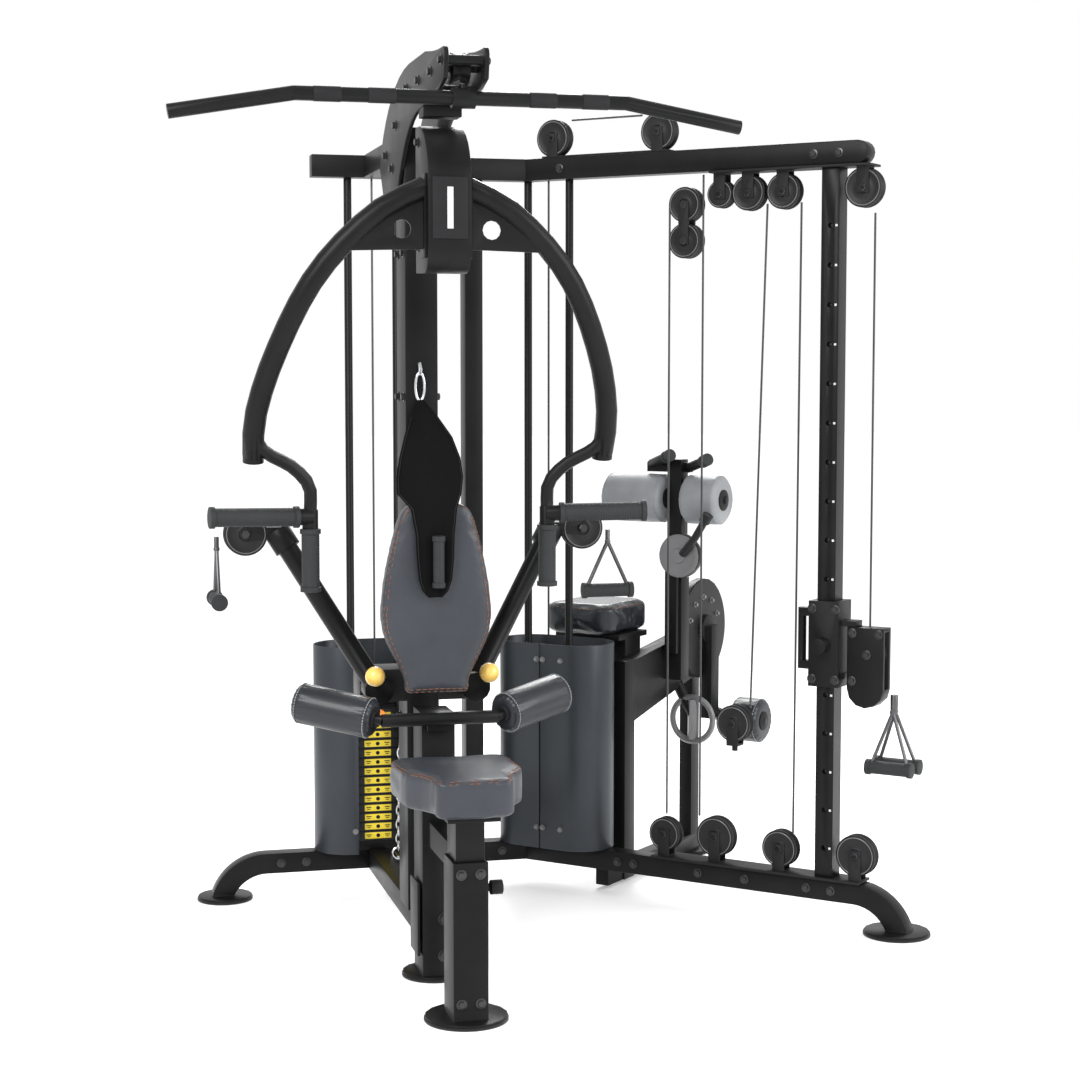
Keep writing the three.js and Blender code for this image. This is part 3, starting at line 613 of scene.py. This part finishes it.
BOOM_BOLTS = ((0.25, 1.96), (0.34, 2.0), (0.2, 2.06), (0.05, 2.13), (-0.10, 2.13), (-0.25, 2.13),
              (-0.37, 2.14))
YOKE_BOLTS = ((-0.09, 1.99), (-0.09, 1.75), (-0.17, 1.75))
HOUSING_BOLTS = ((1003, 785), (1075, 785), (1043, 730), (1003, 660))
FIRST_HOLE = 210
HOLE_PITCH = 101.6
HOLES = 17


def add_bolts():
    for name, side in (("left", -1), ("right", 1)):
        x = side * 0.04
        bolts(f"upright_bolts_{name}", [(x, y, z) for z in (1.40, 0.60, 1.75) for y in (0.157, 0.235)],
              (side, 0, 0))
        bolts(f"boom_bolts_{name}", [(side * 0.0503, y, z) for y, z in BOOM_BOLTS], (side, 0, 0))
        bolts(f"yoke_bolts_{name}", [(side * 0.05, y, z) for y, z in YOKE_BOLTS], (side, 0, 0), "press_body")
    bolts("post_caps", [(0.013, -0.055, z) for z in (0.06, 0.15)], (0, -1, 0), radius=0.011)
    bolts("front_post_bolts", [(x, -0.421, z) for x in (-0.022, 0.022) for z in (0.05, 0.345)], (0, -1, 0))
    bolts("left_rail_bolts", [(x, 0.835, 0.097) for x in (-0.27, -0.2, 0.06, 0.36)], (0, -1, 0))
    face = -BEHIND
    bolts("right_rail_bolts", [wing(u, -25, 97) for u in (310, 360, 560, 700, 880, 950)], face)
    bolts("right_beam_bolts", [wing(u, -25, 2020) for u in (120, 880, 950)], face)
    bolts("carriage_bolts", [wing(u, -42, z) for u in (897, 961) for z in (660, 845)], face, "carriage_body")
    bolts("housing_bolts", [wing(u, -26, z) for u, z in HOUSING_BOLTS], face, "housing_body")
    bolts("shroud_screws", [wing(u, -95, z) for u in (88, 108, 165) for z in (185, 660)], face, radius=0.0055,
          paint=PALE_RIM)
    bolts("left_shroud_screws", [(x, 0.765, z) for x in (-0.072, 0.072) for z in (0.19, 0.66)], (0, -1, 0),
          radius=0.0055, paint=PALE_RIM)
    marks = Shape()
    turn = Matrix.Rotation(-math.pi / 4, 3, "Z")
    for i in range(HOLES):
        base = wing(946, -25.3, FIRST_HOLE + HOLE_PITCH * i)
        marks.block((-0.003, -0.0003, -0.0028), (0.003, 0.0003, 0.0028))
        marks.mesh.verts.ensure_lookup_table()
        for v in list(marks.mesh.verts)[-8:]:
            v.co = base + turn @ v.co
    marks.done("column_marks", PRINT, "frame", "black_steel")


def add_front_trim():
    cover = Shape()
    cover.block((-0.041, -0.2185, 1.762), (0.041, -0.2145, 1.902))
    cover.done("yoke_plate", PAINTS["black_rubber"], "press_body", "black_steel", 0.003)
    band = Shape()
    band.block((-0.007, -0.2195, 1.785), (0.007, -0.2183, 1.879))
    band.done("yoke_mark", PRINT, "press_body", "black_steel", 0.003)
    for name, x, y, r in (("main", 0, 0, 79), ("front", 0, -366, 95), ("left", -424, 860, 75)):
        edge = [((r - 4) * MM, 0), ((r + 1.2) * MM, 0.0004), ((r + 1.2) * MM, 0.006), ((r - 1) * MM, 0.0064)]
        ring = Shape().lathe((x * MM, y * MM, 0.0006), (0, 0, 1), edge, 64)
        ring.done(f"foot_edge_{name}", GREY, "frame", "black_rubber")
    edge = [(0.082, 0), (0.0872, 0.0004), (0.0872, 0.006), (0.085, 0.0064)]
    ring = Shape().lathe(wing(1126, 0, 0.6), (0, 0, 1), edge, 64)
    ring.done("foot_edge_right", GREY, "frame", "black_rubber")
    plate = Shape()
    plate.block((-0.052, -0.05, 0.06), (-0.0445, 0.045, 0.24))
    plate.block((-0.045, -0.02, 0.09), (-0.038, 0.02, 0.2))
    plate.done("low_pulley_plate", PAINTS["black_steel"], "frame", "black_steel", 0.003)
    # Flat matt black discs stand for the seat adjust holes: painted shade, with no holes cut.
    holes = Shape()
    for k in range(6):
        holes.lathe((0.04, -0.366, 0.12 + 0.03 * k), (1, 0, 0), [(0.0065, 0), (0.0065, 0.0006)], 20)
    holes.done("seat_adjust_painted_hole_shade", PAINTS["black_rubber"], "frame", "black_rubber")
    knurl = Shape()
    for x in (-0.30, -0.18, 0.18, 0.30):
        knurl.lathe((x - 0.03, -0.36, 2.059), (1, 0, 0), [(0.0162, 0), (0.0168, 0.002), (0.0168, 0.058),
                    (0.0162, 0.06)], 32)
    knurl.done("lat_bar_knurls", PAINTS["black_rubber"], "lat_bar_body", "black_steel")


def add_chain():
    """The spare pin's chain, taut between its hook and the ring at the foot of the stack."""
    links = Shape()
    top, bottom = Vector((0.049, 0.742, 0.430)), Vector((0.043, 0.742, 0.150))
    count = 14
    for i in range(count + 1):
        centre = top.lerp(bottom, i / count)
        across = Vector((1, 0, 0)) if i % 2 else Vector((0, 1, 0))
        loop = [centre + across * 0.006 * math.cos(a) + Vector((0, 0, 0.0135 * math.sin(a)))
                for a in (2 * math.pi * k / 16 for k in range(16))]
        links.tube(loop, 0.0021, 8, loop=True)
    ring = [bottom + Vector((0.016 * math.cos(a), 0, -0.02 + 0.016 * math.sin(a)))
            for a in (2 * math.pi * k / 24 for k in range(24))]
    links.tube(ring, 0.0028, 8, loop=True)
    links.tube([(0.049, 0.742, 0.443), (0.055, 0.752, 0.452), (0.064, 0.766, 0.455)], 0.003, 8)
    links.tube([(0.043, 0.742, 0.118), (0.043, 0.79, 0.122), (0.043, 0.822, 0.135)], 0.003, 8)
    links.done("pin_chain", PAINTS["chrome"], "frame", "chrome")


# Each row across the webbing, in millimetres: y, z, left edge and right edge.
SLING = (
    (124, 1392, -14, 2), (88, 1352, -40, 30), (44, 1304, -62, 56),
    (0, 1256, -82, 66), (-40, 1212, -96, 64), (-69, 1176, -100, 54),
    (-74, 1140, -68, 42), (-74, 1080, -57, 36), (-74, 1020, -54, 34),
    (-74, 970, -49, 29), (-73, 945, -40, 20), (-72, 930, -26, 6),
)


def add_sling():
    """Black webbing that hangs from a snap hook over the back pad, with a foam hand grip."""
    cloth = bmesh.new()
    across = 14
    fine = 5
    rows = []
    for i in range((len(SLING) - 1) * fine + 1):
        k, t = divmod(i, fine)
        a = SLING[k]
        b = SLING[min(k + 1, len(SLING) - 1)]
        y, z, left, right = (p + (q - p) * t / fine for p, q in zip(a, b))
        row = []
        for j in range(across + 1):
            s = j / across
            fold = 3.2 * math.sin(s * 9.4 + i * 0.05) * min(1, (right - left) / 60)
            row.append(cloth.verts.new(Vector((left + (right - left) * s, y - 3 + fold, z)) * MM))
        rows.append(row)
    for low, high in zip(rows, rows[1:]):
        for j in range(across):
            cloth.faces.new((low[j], low[j + 1], high[j + 1], high[j]))
    mesh = bpy.data.meshes.new("ab_sling_cloth")
    cloth.to_mesh(mesh)
    cloth.free()
    mesh.materials.append(STRAP)
    piece = bpy.data.objects.new("ab_sling_cloth", mesh)
    bpy.context.collection.objects.link(piece)
    thick = piece.modifiers.new("thick", "SOLIDIFY")
    thick.thickness = 0.0022
    thick.offset = 0
    bake(piece)
    piece.data.shade_smooth()
    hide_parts("ab_sling")
    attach(piece, "frame")
    hem = Shape()
    for side in (2, 3):
        inset = 4 if side == 2 else -4
        hem.tube([Vector((row[side] + inset, row[0] - 6.6, row[1])) * MM for row in SLING[1:-1]], 0.0009, 5)
    seam_piece = hem.done("ab_sling_hem", PAINTS["black_rubber"], "frame", "webbing")
    sleeve("ab_sling_grip", (-0.005, -0.093, 0.954), (-0.005, -0.093, 1.077), 0.0135, "frame")
    hook = Shape()
    oval = [Vector((-0.007 + 0.011 * math.cos(a), 0.124, 1.425 + 0.034 * math.sin(a)))
            for a in (2 * math.pi * k / 28 for k in range(28))]
    hook.tube(oval, 0.0036, 10, loop=True)
    hook.tube([(-0.007, y, z) for y, z in ((0.126, 1.455), (0.116, 1.468), (0.124, 1.48), (0.1375, 1.482))],
              0.005, 10)
    hook.done("ab_sling_hook", PAINTS["chrome"], "frame", "chrome")


def add_leg_details():
    face = -BEHIND
    Shape().lathe(wing(330, 300.6, 930), face, [(0.06, 0), (0.0625, 0.001), (0.0625, 0.004), (0.056, 0.0055),
                  (0.05, 0.0035), (0.022, 0.0035), (0.02, 0.009), (0.006, 0.0095)],
                  48).done("adjuster_face", PALE_RIM, "mast_body", "black_steel")
    lever = Shape()
    lever.tube([wing(345, 290, 935), wing(390, 282, 985), wing(430, 276, 1045)], 0.011, 16)
    lever.tube([wing(422, 277, 1033), wing(436, 275, 1054)], 0.016, 16)
    lever.done("adjuster_lever", GREY, "mast_body", "black_steel")
    ring = [wing(300, 452, 430) + 0.066 * (ALONG * math.cos(a) + Vector((0, 0, 1)) * math.sin(a))
            for a in (2 * math.pi * k / 48 for k in range(48))]
    cam = Shape()
    cam.tube(ring, 0.009, 10, loop=True)
    reach = Vector((0.012, 0.012, 0.06))
    cam.block(wing(300, 452, 430) - reach, wing(300, 452, 430) + reach)
    cam.done("cam_ring", PALE_RIM, "frame", "black_rubber", 0.002)
    stay = Shape()
    stay.tube([wing(300, 455, 445), wing(262, 460, 500), wing(240, 460, 540)], 0.016, 14)
    stay.done("cam_stay", PAINTS["black_steel"], "frame", "black_steel")
    face_of_disc = [(0.146, -0.001), (0.146, 0.0012), (0.13, 0.0024), (0.06, 0.002), (0.045, 0.004)]
    disc = Shape().lathe(wing(281, 557, 690), ALONG, face_of_disc, 64)
    disc.done("lever_disc_face", GREY, "leg_lever_body", "black_steel")
    bolts("lever_bolts", [wing(282, 557 + 95 * math.cos(a), 690 + 95 * math.sin(a)) for a in
          (0.4, 1.0, 1.6, 2.2, 2.8)], ALONG, "leg_lever_body", 0.006, PALE_RIM)
    for u in (300, 420):
        z = 1205 if u == 300 else 1195
        sleeve(f"mast_grip_{u}", wing(u - 25, 376 - 56, z + 7), wing(u + 1, 376 - 76, z + 15.5), 0.0155,
               "mast_body")


add_camera()
add_stage()
refine_all()
stretch_cables()
add_pads()
add_wheels()
add_grips()
add_labels()
add_bolts()
add_front_trim()
add_chain()
add_sling()
add_leg_details()
